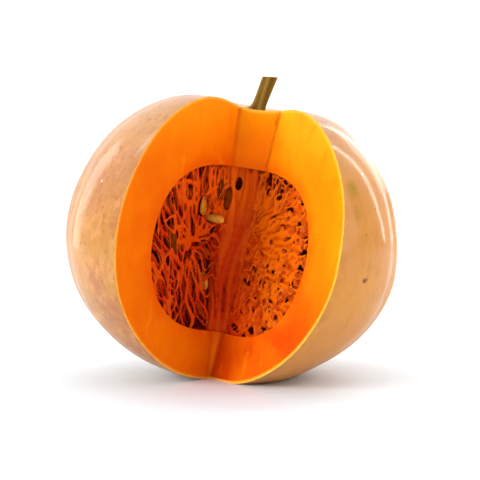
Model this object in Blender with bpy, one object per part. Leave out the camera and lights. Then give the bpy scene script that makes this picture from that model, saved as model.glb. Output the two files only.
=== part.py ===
"""A large buff-skinned pumpkin with one wedge cut out of its front, standing on its base.

Units are metres and +Z is up. The fruit is modelled about its own axis, with a bearing of 0 at its
front (-Y) and bearings growing towards +X, and then leans to one side as it stands. The origin is
the middle of the bottom of its bounding box, on the surface that it rests on.
"""
import math
import random

import bmesh
import bpy
import numpy as np
from mathutils import Vector

# How the fruit stands: the lean of its axis and the height of its middle above the surface
LEAN_RIGHT = math.radians(9.25)
LEAN_BACK = math.radians(0.9)
FRUIT_MIDDLE = (-0.0004, -0.0126, 0.1058)

# The outside of the fruit
EQUATOR_RADIUS = 0.135
UPPER_HEIGHT = 0.1258
UPPER_FULLNESS = 0.86
LOWER_HEIGHT = 0.1124
LOWER_FULLNESS = 1.0
STEM_DIMPLE_DEPTH = 0.0163
BASE_DIMPLE_DEPTH = 0.0041
DIMPLE_RADIUS = 0.040
# Shallow furrows between the ribs: bearing in degrees, depth and half width in degrees
FURROWS = (
    (72, 0.0018, 4.0), (84, 0.0014, 4.0), (104, 0.0022, 6.0), (131, 0.0024, 6.0), (158, 0.0022, 6.0),
    (-75, 0.0016, 4.5), (-97, 0.0022, 6.0), (-122, 0.0024, 6.0), (-149, 0.0022, 6.0), (-176, 0.0020, 6.0),
)
# One side tapers more towards the base than the other
TAPER_DEPTH = 0.0050
TAPER_HEIGHT_ANGLE = math.radians(-47)
TAPER_SPREAD = math.radians(24)

# The seed cavity, about a middle of its own
CAVITY_RADIUS = 0.0932
CAVITY_HEIGHT = 0.0669
CAVITY_FULLNESS = 0.60
CAVITY_MIDDLE = Vector((0.0004, -0.0046, -0.0022))

# The three cuts that free the wedge: bearing, tilt and distance from the fruit's middle
LEFT_CUT = (math.radians(-42.8), math.radians(2.1), 0.0058)
RIGHT_CUT = (math.radians(36.9), math.radians(4.3), 0.0020)
MIDDLE_CUT = (math.radians(-2.5), math.radians(0.35), 0.0171)

# The stem stub
STEM_RADIUS = 0.0056
STEM_FLARE_RADIUS = 0.0135
STEM_FLARE_LENGTH = 0.0050
STEM_LENGTH = 0.0315
STEM_SIDES = 10
STEM_RIDGE = 0.10
STEM_TILT = math.radians(12.5)
STEM_HOLLOW = 0.0015
STEM_HOLLOW_SHARE = 0.45
STEM_SINK = 0.010
STEM_STEPS = 9

# The pulp: strands, membranes and seeds in a bowl of soft tissue
POCKET_SHARE = 0.86
POCKET_DEPTH = 0.028
ROOT_SHARE = 0.87
STRAND_RADIUS = 0.0019
STRAND_SIDES = 4
RANDOM_SEED = 7
# Long strands run down each cut face. Their places and slants are shares of the cavity's radius
LONG_STRANDS = 13
LONG_STEPS = 7
LONG_FIRST = 0.18
LONG_SPREAD = 0.76
LONG_JITTER = 0.3
LONG_SLANT = 0.16
LONG_REACH = (0.80, 1.0)
LONG_DEPTH = (0.003, 0.014)
LONG_END_DEPTH = 0.014
LONG_END_SWELL = 0.6
LONG_WOBBLE_DEEP = 0.002
LONG_WOBBLE_OUT = 0.003
LONG_FLATNESS = 0.8
# The strands draw in towards the poles: the share of their place that doesn't, and the share that does
NARROW_LEAST = 0.45
NARROW_REST = 0.55
# Cross strands run from the wall towards the core. Their heights are shares of the cavity's height
CROSS_STRANDS = 12
CROSS_STEPS = 4
CROSS_TOP = 0.86
CROSS_SPREAD = 1.72
CROSS_INNER_END = (0.0, 0.35)
CROSS_DROP = (-0.030, 0.040)
CROSS_NEAR_DEPTH = (0.004, 0.012)
CROSS_FAR_DEPTH = (0.012, 0.030)
CROSS_ARCH = 0.006
CROSS_THIN = 0.8
CROSS_END_SWELL = 0.7
# Membranes fan down from the top of the cavity
MEMBRANES = 5
MEMBRANE_STEPS = 6
MEMBRANE_SIDES = 6
MEMBRANE_DEPTH = (0.002, 0.012)
MEMBRANE_SHIFT = 0.004
MEMBRANE_TOP_WIDTH = 0.010
MEMBRANE_FAN = 0.040
MEMBRANE_SLOPE = 0.020
MEMBRANE_SIDE_DEPTH = 0.012
MEMBRANE_TOP = 0.98
MEMBRANE_DROP = 1.9
MEMBRANE_RADIUS = 0.0042
MEMBRANE_BULGE = 0.004
MEMBRANE_END_SWELL = 0.003
MEMBRANE_FLATNESS = 0.32
MEMBRANE_TURN = 0.5
# Seeds: length, width and thickness, and how the row runs down behind a cut
SEEDS = 11
SEED_SIZE = (0.0150, 0.0078, 0.0030)
SEED_TAPER = 0.25
SEED_TOP = 0.62
SEED_SPREAD = 1.25
SEED_OUT = (0.35, 0.75)
SEED_DEPTH = (0.007, 0.013)
SEED_NOD = 0.5
SEED_ROLL = 1.4

# Clearance between pieces that grow against each other
GAP = 0.0003
# Size of the solids that only cut
CUTTER_SIZE = 0.6
# Rows and columns of the round forms
WALL_GRID = (34, 90)
CAVITY_GRID = (18, 40)
POCKET_GRID = (14, 28)
DIMPLE_GRID = (40, 90)
SEED_GRID = (6, 8)
# Edges sharper than this stay sharp in shading
SHARP_ANGLE = math.radians(35)
# The relief of the skin fades out towards the poles from this share of the radius inwards
RELIEF_FADE = 1.5


def fresh_scene():
    """Empty the scene."""
    for old in list(bpy.data.objects):
        bpy.data.objects.remove(old, do_unlink=True)


def material(name, colour, roughness):
    """A plain Principled BSDF material."""
    mat = bpy.data.materials.new(name)
    mat.use_nodes = True
    shader = mat.node_tree.nodes["Principled BSDF"]
    shader.inputs["Base Color"].default_value = (*colour, 1.0)
    shader.inputs["Roughness"].default_value = roughness
    shader.inputs["Metallic"].default_value = 0.0
    return mat


def new_object(name, mesh, parent=None):
    """Link a new object for a mesh."""
    obj = bpy.data.objects.new(name, mesh)
    obj.parent = parent
    bpy.context.scene.collection.objects.link(obj)
    return obj


def turned_mesh(name, rows, columns, point):
    """A closed mesh from point(height angle, bearing), with one vertex at each pole."""
    angles = np.linspace(-math.pi / 2, math.pi / 2, rows + 1)[1:-1]
    bearings = np.arange(columns) * (2 * math.pi / columns)
    verts = [point(-math.pi / 2, 0.0)]
    for angle in angles:
        verts += [point(angle, bearing) for bearing in bearings]
    verts.append(point(math.pi / 2, 0.0))
    faces = []
    for column in range(columns):
        after = (column + 1) % columns
        faces.append((0, 1 + after, 1 + column))
        for row in range(rows - 2):
            low, high = 1 + row * columns, 1 + (row + 1) * columns
            faces.append((low + column, low + after, high + after, high + column))
        last = 1 + (rows - 2) * columns
        faces.append((last + column, last + after, len(verts) - 1))
    mesh = bpy.data.meshes.new(name)
    mesh.from_pydata(verts, [], faces)
    mesh.validate()
    return mesh


def wrapped(angle):
    """An angle brought between minus and plus half a turn."""
    return (angle + math.pi) % (2 * math.pi) - math.pi


def skin_point(angle, bearing, outset=0.0):
    """A point of the outside of the fruit, in the fruit's own frame."""
    upper = angle > 0
    fullness = UPPER_FULLNESS if upper else LOWER_FULLNESS
    rounded = max(math.cos(angle), 0.0) ** fullness
    radius = EQUATOR_RADIUS * rounded
    height = (UPPER_HEIGHT if upper else LOWER_HEIGHT) * math.sin(angle)
    dimple = math.exp(-(radius / DIMPLE_RADIUS) ** 2)
    height += -STEM_DIMPLE_DEPTH * dimple if upper else BASE_DIMPLE_DEPTH * dimple
    relief = 0.0
    for furrow, depth, half_width in FURROWS:
        away = wrapped(bearing - math.radians(furrow)) / math.radians(half_width)
        relief -= depth * math.exp(-away ** 2)
    side = max(math.sin(bearing), 0.0) ** 2
    relief -= TAPER_DEPTH * side * math.exp(-((angle - TAPER_HEIGHT_ANGLE) / TAPER_SPREAD) ** 2)
    radius += (relief + outset) * min(1.0, rounded * RELIEF_FADE)
    height += outset * math.sin(angle)
    return (radius * math.sin(bearing), -radius * math.cos(bearing), height)


def cavity_point(angle, bearing, inset=0.0, scale=1.0):
    """A point of the seed cavity's wall, in the fruit's own frame."""
    rounded = max(math.cos(angle), 0.0) ** CAVITY_FULLNESS
    radius = max(CAVITY_RADIUS * scale * rounded - inset * rounded, 0.0)
    height = (CAVITY_HEIGHT * scale - inset) * math.sin(angle)
    offset = Vector((radius * math.sin(bearing), -radius * math.cos(bearing), height))
    return tuple(CAVITY_MIDDLE + offset)


def cut_normal(cut, side):
    """The direction into the notch, square to a cut: side is 1 for left, -1 for right."""
    bearing, tilt, _ = cut
    level = math.cos(tilt)
    return Vector((side * math.cos(bearing) * level, side * math.sin(bearing) * level, math.sin(tilt)))


def notch_planes(back=0.0):
    """Normal and distance of the three cuts, moved back into the flesh by a distance."""
    bearing, tilt, _ = MIDDLE_CUT
    ahead = Vector((math.sin(bearing) * math.cos(tilt), -math.cos(bearing) * math.cos(tilt), math.sin(tilt)))
    return (
        (cut_normal(LEFT_CUT, 1), LEFT_CUT[2] - back),
        (cut_normal(RIGHT_CUT, -1), RIGHT_CUT[2] - back),
        (ahead, MIDDLE_CUT[2] - back),
    )


def notch_mesh(name, back=0.0):
    """A block trimmed to the space in front of the three cuts."""
    solid = bmesh.new()
    bmesh.ops.create_cube(solid, size=CUTTER_SIZE)
    for normal, distance in notch_planes(back):
        everything = solid.verts[:] + solid.edges[:] + solid.faces[:]
        cut = bmesh.ops.bisect_plane(
            solid, geom=everything, plane_co=normal * distance, plane_no=normal, clear_inner=True)
        rim = [item for item in cut["geom_cut"] if isinstance(item, bmesh.types.BMEdge)]
        bmesh.ops.contextual_create(solid, geom=rim)
    bmesh.ops.recalc_face_normals(solid, faces=solid.faces[:])
    mesh = bpy.data.meshes.new(name)
    solid.to_mesh(mesh)
    solid.free()
    return mesh


def cutter(name, mesh, parent):
    """An object that only shapes others."""
    obj = new_object(name, mesh, parent)
    obj.hide_render = True
    obj.display_type = "WIRE"
    return obj


def boolean(obj, operation, operand, solver="EXACT"):
    """Add a Boolean modifier with an object or a collection as its operand."""
    modifier = obj.modifiers.new(operation.lower(), "BOOLEAN")
    modifier.operation = operation
    modifier.solver = solver
    if isinstance(operand, bpy.types.Collection):
        modifier.operand_type = "COLLECTION"
        modifier.collection = operand
    else:
        modifier.object = operand


def apply_modifiers(obj):
    """Replace an object's mesh with its evaluated one and drop its modifiers."""
    bpy.context.view_layer.update()
    evaluated = obj.evaluated_get(bpy.context.evaluated_depsgraph_get())
    mesh = bpy.data.meshes.new_from_object(evaluated)
    obj.modifiers.clear()
    obj.data = mesh


def keep_largest_body(mesh):
    """Delete every loose scrap, and leave the body with the most faces."""
    solid = bmesh.new()
    solid.from_mesh(mesh)
    unseen = set(solid.verts)
    bodies = []
    while unseen:
        front = [unseen.pop()]
        body = set(front)
        while front:
            for edge in front.pop().link_edges:
                for vert in edge.verts:
                    if vert in unseen:
                        unseen.remove(vert)
                        body.add(vert)
                        front.append(vert)
        bodies.append(body)
    largest = max(bodies, key=len)
    scraps = [vert for body in bodies if body is not largest for vert in body]
    bmesh.ops.delete(solid, geom=scraps, context="VERTS")
    solid.to_mesh(mesh)
    solid.free()


def fruit_wall(parent, notch, base_cutter):
    """The grown wall of rind and flesh, with the notch, the seed cavity and the resting spot."""
    wall = new_object("fruit_wall", turned_mesh("fruit_wall", *WALL_GRID, skin_point), parent)
    wall.data.materials.append(material("rind", (0.72, 0.42, 0.20), 0.38))
    wall.data.shade_smooth()
    cavity_mesh = turned_mesh("cavity_cutter", *CAVITY_GRID, cavity_point)
    cavity = cutter("cavity_cutter", cavity_mesh, parent)
    cavity.data.materials.append(material("flesh", (0.95, 0.40, 0.03), 0.45))
    boolean(wall, "DIFFERENCE", cavity)
    boolean(wall, "DIFFERENCE", notch)
    boolean(wall, "DIFFERENCE", base_cutter)
    apply_modifiers(wall)
    wall.data.set_sharp_from_angle(angle=SHARP_ANGLE)
    return wall


def stem(parent):
    """The woody stub: a ridged rod with a flared foot in the dimple and a hollowed top."""
    foot = Vector(skin_point(math.pi / 2, 0.0))
    lean = Vector((math.sin(STEM_TILT), 0.0, math.cos(STEM_TILT)))
    rings = []
    for step in range(STEM_STEPS + 1):
        along = -STEM_SINK + (STEM_LENGTH + STEM_SINK) * step / STEM_STEPS
        flare = (STEM_FLARE_RADIUS - STEM_RADIUS) * math.exp(-max(along, 0.0) / STEM_FLARE_LENGTH)
        rings.append((along, STEM_RADIUS + flare))
    rings.append((STEM_LENGTH - STEM_HOLLOW, STEM_RADIUS * STEM_HOLLOW_SHARE))
    side = lean.cross(Vector((0, 1, 0))).normalized()
    front = lean.cross(side)
    verts = []
    for along, radius in rings:
        for corner in range(STEM_SIDES):
            turn = 2 * math.pi * corner / STEM_SIDES
            ridged = radius * (1 + STEM_RIDGE * (1 if corner % 2 else -1))
            offset = side * math.cos(turn) * ridged + front * math.sin(turn) * ridged
            verts.append(foot + lean * along + offset)
    faces = [tuple(reversed(range(STEM_SIDES)))]
    for ring in range(len(rings) - 1):
        for corner in range(STEM_SIDES):
            after = (corner + 1) % STEM_SIDES
            low, high = ring * STEM_SIDES, (ring + 1) * STEM_SIDES
            faces.append((low + corner, low + after, high + after, high + corner))
    last = (len(rings) - 1) * STEM_SIDES
    faces.append(tuple(range(last, last + STEM_SIDES)))
    mesh = bpy.data.meshes.new("stem")
    mesh.from_pydata(verts, [], faces)
    solid = bmesh.new()
    solid.from_mesh(mesh)
    bmesh.ops.recalc_face_normals(solid, faces=solid.faces[:])
    solid.to_mesh(mesh)
    solid.free()
    stub = new_object("stem", mesh, parent)
    stub.data.materials.append(material("stem", (0.30, 0.18, 0.08), 0.7))
    dimple = cutter(
        "dimple_cutter",
        turned_mesh(
            "dimple_cutter", *DIMPLE_GRID, lambda angle, bearing: skin_point(angle, bearing, GAP)),
        parent)
    boolean(stub, "DIFFERENCE", dimple)
    apply_modifiers(stub)
    bpy.data.objects.remove(dimple)
    keep_largest_body(stub.data)
    stub.data.set_sharp_from_angle(angle=SHARP_ANGLE)
    return stub


def tube(name, points, radii, flatness, flat_way, sides):
    """A closed tapered tube along points; flatness below 1 makes it a ribbon square to flat_way."""
    verts = []
    last = len(points) - 1
    for index, point in enumerate(points):
        ahead = (points[min(index + 1, last)] - points[max(index - 1, 0)]).normalized()
        thin = (flat_way - ahead * flat_way.dot(ahead)).normalized()
        wide = thin.cross(ahead)
        for corner in range(sides):
            turn = 2 * math.pi * corner / sides
            offset = wide * math.cos(turn) + thin * (math.sin(turn) * flatness)
            verts.append(point + offset * radii[index])
    faces = [tuple(reversed(range(sides))), tuple(range(last * sides, (last + 1) * sides))]
    for ring in range(last):
        for corner in range(sides):
            after = (corner + 1) % sides
            low, high = ring * sides, (ring + 1) * sides
            faces.append((low + corner, low + after, high + after, high + corner))
    mesh = bpy.data.meshes.new(name)
    mesh.from_pydata(verts, [], faces)
    return mesh


def held_in(offset):
    """An offset from the cavity's middle, drawn in to lie inside the tissue along the wall."""
    height = max(-ROOT_SHARE, min(ROOT_SHARE, offset.z / CAVITY_HEIGHT))
    reach = CAVITY_RADIUS * ROOT_SHARE * (1 - height ** 2) ** (CAVITY_FULLNESS / 2)
    radius = math.hypot(offset.x, offset.y)
    shrink = min(1.0, reach / radius) if radius > 0 else 1.0
    return Vector((offset.x * shrink, offset.y * shrink, height * CAVITY_HEIGHT))


def face_frame(cut, side):
    """Outward and inward directions of a side cut, in the fruit's own frame."""
    bearing, _, distance = cut
    outward = Vector((math.sin(bearing), -math.cos(bearing), 0.0))
    inward = -cut_normal(cut, side)
    return outward, inward, -distance


def pulp_strands(group, dice):
    """Long strands along the cavity wall, and cross strands from the wall towards the core."""
    for cut, side in ((LEFT_CUT, 1), (RIGHT_CUT, -1)):
        outward, inward, start = face_frame(cut, side)

        def place(out, up, deep):
            return CAVITY_MIDDLE + held_in(outward * out + Vector((0, 0, up)) + inward * (start + deep))

        for number in range(LONG_STRANDS):
            jitter = dice.uniform(-LONG_JITTER, LONG_JITTER)
            share = LONG_FIRST + LONG_SPREAD * (number + jitter) / LONG_STRANDS
            slant = dice.uniform(-LONG_SLANT, LONG_SLANT)
            middle = dice.uniform(*LONG_DEPTH)
            top = dice.uniform(*LONG_REACH)
            bottom = dice.uniform(*LONG_REACH)
            points, radii = [], []
            for step in range(LONG_STEPS + 1):
                way = step / LONG_STEPS
                up = CAVITY_HEIGHT * (top - (top + bottom) * way)
                curve = max(1 - (up / CAVITY_HEIGHT) ** 2, 0.0) ** (CAVITY_FULLNESS / 2)
                narrow = NARROW_LEAST + NARROW_REST * curve
                out = CAVITY_RADIUS * (share + slant * (2 * way - 1)) * narrow
                ends = (2 * way - 1) ** 4
                deep = middle + LONG_END_DEPTH * ends + dice.uniform(-LONG_WOBBLE_DEEP, LONG_WOBBLE_DEEP)
                out += dice.uniform(-LONG_WOBBLE_OUT, LONG_WOBBLE_OUT)
                points.append(place(out, up, deep))
                radii.append(STRAND_RADIUS * (1 + LONG_END_SWELL * ends))
            mesh = tube("strand", points, radii, LONG_FLATNESS, inward, STRAND_SIDES)
            group.objects.link(bpy.data.objects.new("strand", mesh))
        for number in range(CROSS_STRANDS):
            up = CAVITY_HEIGHT * (CROSS_TOP - CROSS_SPREAD * (number + dice.uniform(0, 1)) / CROSS_STRANDS)
            reach = CAVITY_RADIUS * (1 - (up / CAVITY_HEIGHT) ** 2) ** (CAVITY_FULLNESS / 2)
            inner = dice.uniform(*CROSS_INNER_END) * reach
            drop = dice.uniform(*CROSS_DROP)
            near = dice.uniform(*CROSS_NEAR_DEPTH)
            far = dice.uniform(*CROSS_FAR_DEPTH)
            points, radii = [], []
            for step in range(CROSS_STEPS + 1):
                way = step / CROSS_STEPS
                points.append(place(
                    reach + (inner - reach) * way,
                    up + drop * way + CROSS_ARCH * math.sin(math.pi * way),
                    near + (far - near) * way))
                radii.append(STRAND_RADIUS * (CROSS_THIN + CROSS_END_SWELL * (2 * way - 1) ** 4))
            mesh = tube("strand", points, radii, 1.0, inward, STRAND_SIDES)
            group.objects.link(bpy.data.objects.new("strand", mesh))


def pulp_membranes(group, dice):
    """Smooth sheets that fan down from the top of the cavity behind the middle cut."""
    for number in range(MEMBRANES):
        spread = -1 + 2 * number / (MEMBRANES - 1)
        deep = dice.uniform(*MEMBRANE_DEPTH)
        points, radii = [], []
        for step in range(MEMBRANE_STEPS + 1):
            way = step / MEMBRANE_STEPS
            across = MEMBRANE_SHIFT + spread * (MEMBRANE_TOP_WIDTH + MEMBRANE_FAN * way)
            back = deep + MEMBRANE_SLOPE * way + MEMBRANE_SIDE_DEPTH * abs(spread)
            up = CAVITY_HEIGHT * (MEMBRANE_TOP - MEMBRANE_DROP * way)
            points.append(CAVITY_MIDDLE + held_in(Vector((across, back - MIDDLE_CUT[2], up))))
            bulge = MEMBRANE_BULGE * math.sin(math.pi * way)
            radii.append(MEMBRANE_RADIUS + bulge + MEMBRANE_END_SWELL * (2 * way - 1) ** 4)
        facing = Vector((spread * MEMBRANE_TURN, 1.0, 0.0)).normalized()
        mesh = tube("membrane", points, radii, MEMBRANE_FLATNESS, facing, MEMBRANE_SIDES)
        group.objects.link(bpy.data.objects.new("membrane", mesh))


def seed_point(angle, bearing):
    """A point of a flat seed with a pointed end at -Z."""
    length, width, thickness = SEED_SIZE
    taper = 1.0 if angle > 0 else 1.0 + SEED_TAPER * math.sin(angle)
    radius = math.cos(angle) * taper
    return (
        radius * math.sin(bearing) * width / 2,
        -radius * math.cos(bearing) * thickness / 2,
        math.sin(angle) * length / 2)


def pulp_seeds(group, dice):
    """Seeds in two rough rows, one behind each side cut."""
    for number in range(SEEDS):
        cut, side = ((LEFT_CUT, 1), (RIGHT_CUT, -1))[number % 2]
        outward, inward, start = face_frame(cut, side)
        up = CAVITY_HEIGHT * (SEED_TOP - SEED_SPREAD * number / (SEEDS - 1))
        out = CAVITY_RADIUS * dice.uniform(*SEED_OUT)
        seed = bpy.data.objects.new("seed", turned_mesh("seed", *SEED_GRID, seed_point))
        seed.location = CAVITY_MIDDLE + outward * out + inward * (start + dice.uniform(*SEED_DEPTH))
        seed.location.z += up
        nod = dice.uniform(-SEED_NOD, SEED_NOD)
        roll = dice.uniform(-SEED_ROLL, SEED_ROLL)
        seed.rotation_euler = (nod, roll, cut[0] + side * math.radians(90))
        group.objects.link(seed)


def pulp(parent, notch):
    """The fibrous lining of the seed cavity, with its strands, membranes and seeds fused into it."""
    dice = random.Random(RANDOM_SEED)
    lining = turned_mesh(
        "pulp", *CAVITY_GRID, lambda angle, bearing: cavity_point(angle, bearing, GAP))
    body = new_object("pulp", lining, parent)
    body.data.materials.append(material("pulp", (0.62, 0.13, 0.02), 0.4))
    pocket = cutter(
        "pocket_cutter",
        turned_mesh(
            "pocket_cutter", *POCKET_GRID,
            lambda angle, bearing: cavity_point(angle, bearing, scale=POCKET_SHARE)),
        parent)
    pocket_back = cutter("pocket_back", notch_mesh("pocket_back", POCKET_DEPTH), parent)
    boolean(pocket, "INTERSECT", pocket_back)
    apply_modifiers(pocket)
    fibres = bpy.data.collections.new("fibres")
    bpy.context.scene.collection.children.link(fibres)
    pulp_strands(fibres, dice)
    pulp_membranes(fibres, dice)
    pulp_seeds(fibres, dice)
    for fibre in fibres.objects:
        fibre.parent = parent
    boolean(body, "DIFFERENCE", pocket, "MANIFOLD")
    boolean(body, "UNION", fibres, "MANIFOLD")
    boolean(body, "DIFFERENCE", notch, "MANIFOLD")
    apply_modifiers(body)
    for helper in list(fibres.objects) + [pocket, pocket_back]:
        bpy.data.objects.remove(helper)
    bpy.data.collections.remove(fibres)
    keep_largest_body(body.data)
    return body


def main():
    """Build the fruit wall, the stem and the pulp on the fruit's leaning axis."""
    fresh_scene()
    axis = new_object("fruit_axis", None)
    axis.location = FRUIT_MIDDLE
    axis.rotation_euler = (-LEAN_BACK, LEAN_RIGHT, 0.0)
    notch = cutter("notch_cutter", notch_mesh("notch_cutter"), axis)
    ground_mesh = bpy.data.meshes.new("ground_cutter")
    ground = bmesh.new()
    bmesh.ops.create_cube(ground, size=CUTTER_SIZE)
    ground.to_mesh(ground_mesh)
    ground.free()
    ground_cutter = cutter("ground_cutter", ground_mesh, None)
    ground_cutter.location.z = -CUTTER_SIZE / 2
    fruit_wall(axis, notch, ground_cutter)
    stem(axis)
    pulp(axis, notch)


main()
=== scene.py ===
"""The looks of a large buff-skinned pumpkin that stands with a wedge cut out of its front.

The fruit is worked out about its own axis. A bearing of 0 is its front (-Y) and bearings grow towards
+X. A height angle runs from -90 degrees at the base pole to +90 at the stem pole. The axis then leans
to one side, as the solids' does. Lengths are metres.
"""
import math

import bmesh
import bpy
import numpy as np
from mathutils import Euler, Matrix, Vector


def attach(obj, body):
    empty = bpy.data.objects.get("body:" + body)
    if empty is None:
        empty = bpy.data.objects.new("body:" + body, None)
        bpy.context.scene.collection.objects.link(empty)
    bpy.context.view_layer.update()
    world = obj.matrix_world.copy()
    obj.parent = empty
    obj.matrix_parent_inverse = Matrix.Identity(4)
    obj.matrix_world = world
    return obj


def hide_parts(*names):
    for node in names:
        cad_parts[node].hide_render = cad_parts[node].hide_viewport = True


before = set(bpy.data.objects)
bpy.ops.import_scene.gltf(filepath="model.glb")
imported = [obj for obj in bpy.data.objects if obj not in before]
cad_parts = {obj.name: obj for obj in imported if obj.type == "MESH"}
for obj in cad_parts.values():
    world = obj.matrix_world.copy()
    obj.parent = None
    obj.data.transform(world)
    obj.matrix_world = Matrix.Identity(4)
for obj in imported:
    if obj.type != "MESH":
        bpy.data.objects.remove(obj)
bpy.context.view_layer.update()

# The stand of the fruit, as in the solids
LEAN_RIGHT = math.radians(9.25)
LEAN_BACK = math.radians(0.9)
FRUIT_MIDDLE = np.array((-0.0004, -0.0126, 0.1058))

# The outside, as in the solids
EQUATOR_RADIUS = 0.135
UPPER_HEIGHT = 0.1258
UPPER_FULLNESS = 0.86
LOWER_HEIGHT = 0.1124
LOWER_FULLNESS = 1.0
STEM_DIMPLE_DEPTH = 0.0163
BASE_DIMPLE_DEPTH = 0.0041
DIMPLE_RADIUS = 0.040
# Shallow furrows between the ribs: bearing in degrees, depth, and half width in degrees
FURROWS = (
    (72, 0.0018, 4.0), (84, 0.0014, 4.0), (104, 0.0022, 6.0), (131, 0.0024, 6.0), (158, 0.0022, 6.0),
    (-75, 0.0016, 4.5), (-97, 0.0022, 6.0), (-122, 0.0024, 6.0), (-149, 0.0022, 6.0), (-176, 0.0020, 6.0),
)
TAPER_DEPTH = 0.0050
TAPER_HEIGHT_ANGLE = math.radians(-47)
TAPER_SPREAD = math.radians(24)
# Low waves all round the skin
WAVE_DEPTH = 0.0005

# The seed cavity, as in the solids
CAVITY_RADIUS = 0.0932
CAVITY_HEIGHT = 0.0669
CAVITY_FULLNESS = 0.60
CAVITY_MIDDLE = np.array((0.0004, -0.0046, -0.0022))

# The cuts: bearing, tilt and distance from the fruit's middle, as in the solids
LEFT_CUT = (math.radians(-42.8), math.radians(2.1), 0.0058)
RIGHT_CUT = (math.radians(36.9), math.radians(4.3), 0.0020)
MIDDLE_CUT = (math.radians(-2.5), math.radians(0.35), 0.0171)
WIDEST_BEARING = math.radians(85)

# The rind is a thin shell of its own here, and the flesh starts where it ends
RIND_THICKNESS = 0.0014

# Rows of the cut shells, between the base pole, the lower closing of the notch, the lower and upper
# creases, the upper closing and the stem pole
SKIN_ROWS = (8, 3, 186, 8, 9)
FLESH_ROWS = (6, 3, 130, 8, 6)
# Columns round the outer and the inner shell, and across a cut face
RIND_COLUMNS = (300, 60, 2)
FLESH_COLUMNS = (70, 90, 40)
POLE_ANGLE = math.radians(89.9)

# The stem stub, much as in the solids, with finer ridges
STEM_RADIUS = 0.0056
STEM_FLARE_RADIUS = 0.0135
STEM_FLARE_FADE = 0.0023
STEM_LENGTH = 0.0315
STEM_TILT = math.radians(12.5)
STEM_SINK = 0.006
STEM_HOLLOW = 0.0016
STEM_HOLLOW_SHARE = 0.88
STEM_RIDGES = 5
STEM_TWIST = 14
STEM_RINGS = 70
STEM_SIDES = 96

# Ways across the pieces
RIGHTWARD = (1.0, 0.0, 0.0)
UPWARD = (0.0, 0.0, 1.0)

# The view: a 111 mm lens on a 36 mm sensor, 1.2 m away and 4.5 degrees above level
VIEW_TARGET = Vector((0.0061, -0.0126, 0.1107))
VIEW_DISTANCE = 1.2
VIEW_ELEVATION = math.radians(4.453)
VIEW_LENS = 110.7


# Places on the fruit

def turned(axis, angle):
    """The matrix that turns column vectors about the x or y axis."""
    sine, cosine = math.sin(angle), math.cos(angle)
    if axis == "x":
        return np.array(((1, 0, 0), (0, cosine, -sine), (0, sine, cosine)))
    return np.array(((cosine, 0, sine), (0, 1, 0), (-sine, 0, cosine)))


LEAN = turned("y", LEAN_RIGHT) @ turned("x", -LEAN_BACK)


def stood(points, floor=0.0):
    """Points of the fruit's own frame, leant and lifted to where it stands, and none below a floor,
    which is one height or one for each point."""
    world = points @ LEAN.T + FRUIT_MIDDLE
    world[..., 2] = np.maximum(world[..., 2], floor)
    return world


def round_axis(radius, bearing, height):
    """Points at a radius, a bearing and a height."""
    across = np.broadcast_arrays(radius * np.sin(bearing), -radius * np.cos(bearing), height)
    return np.stack(across, -1)


def skin(angle, bearing):
    """The outside: radius R cos(a)^p and height H sin(a), less a round dimple at each pole, less a
    bell-shaped furrow for each gap between ribs and one wide bell where the side tapers, with low
    waves all round."""
    upper = angle > 0
    rounded = np.clip(np.cos(angle), 1e-6, None) ** np.where(upper, UPPER_FULLNESS, LOWER_FULLNESS)
    radius = EQUATOR_RADIUS * rounded
    dimple = np.exp(-(radius / DIMPLE_RADIUS) ** 2)
    height = np.where(upper, UPPER_HEIGHT, LOWER_HEIGHT) * np.sin(angle)
    height = height + np.where(upper, -STEM_DIMPLE_DEPTH, BASE_DIMPLE_DEPTH) * dimple
    relief = np.zeros(np.broadcast(angle, bearing).shape)
    for furrow, depth, half_width in FURROWS:
        away = (bearing - math.radians(furrow) + math.pi) % (2 * math.pi) - math.pi
        relief -= depth * np.exp(-(away / math.radians(half_width)) ** 2)
    side = np.clip(np.sin(bearing), 0, None) ** 2
    relief -= TAPER_DEPTH * side * np.exp(-((angle - TAPER_HEIGHT_ANGLE) / TAPER_SPREAD) ** 2)
    relief += WAVE_DEPTH * np.sin(5 * bearing + 3 * angle) * np.sin(7 * angle + 2 * bearing)
    radius = radius + relief * np.clip(rounded * 1.5, 0, 1)
    return round_axis(radius, bearing, height)


def under_skin(depth):
    """The outside moved inwards, square to itself, by a depth."""
    def surface(angle, bearing):
        step = 1e-4
        across = skin(angle, bearing + step) - skin(angle, bearing - step)
        along = skin(angle + step, bearing) - skin(angle - step, bearing)
        out = np.cross(across, along)
        return skin(angle, bearing) - depth * out / np.linalg.norm(out, axis=-1, keepdims=True)
    return surface


def cavity(angle, bearing):
    """The seed cavity's wall: radius R cos(a)^p and height H sin(a) about a middle of its own."""
    radius = CAVITY_RADIUS * np.clip(np.cos(angle), 1e-6, None) ** CAVITY_FULLNESS
    return round_axis(radius, bearing, CAVITY_HEIGHT * np.sin(angle)) + CAVITY_MIDDLE


# The three cuts

def cut_plane(cut, quarter_turns):
    """A cut's plane: the direction into the notch, square to the cut, and its distance from the fruit's
    middle. Quarter turns bring the cut's own bearing round to the way that it faces."""
    bearing, tilt, distance = cut
    facing = bearing + quarter_turns * math.pi / 2
    level = math.cos(tilt)
    return np.array((math.cos(facing) * level, math.sin(facing) * level, math.sin(tilt))), distance


LEFT_PLANE = cut_plane(LEFT_CUT, 0)
RIGHT_PLANE = cut_plane(RIGHT_CUT, 2)
MIDDLE_PLANE = cut_plane(MIDDLE_CUT, -1)


def ahead(points, plane):
    """How far points are in front of a cut."""
    normal, distance = plane
    return points @ normal - distance


def notch_depth(points):
    """How far points are inside the notch: the least of the three distances in front of the cuts."""
    return np.minimum(np.minimum(ahead(points, LEFT_PLANE), ahead(points, RIGHT_PLANE)),
                      ahead(points, MIDDLE_PLANE))


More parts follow.
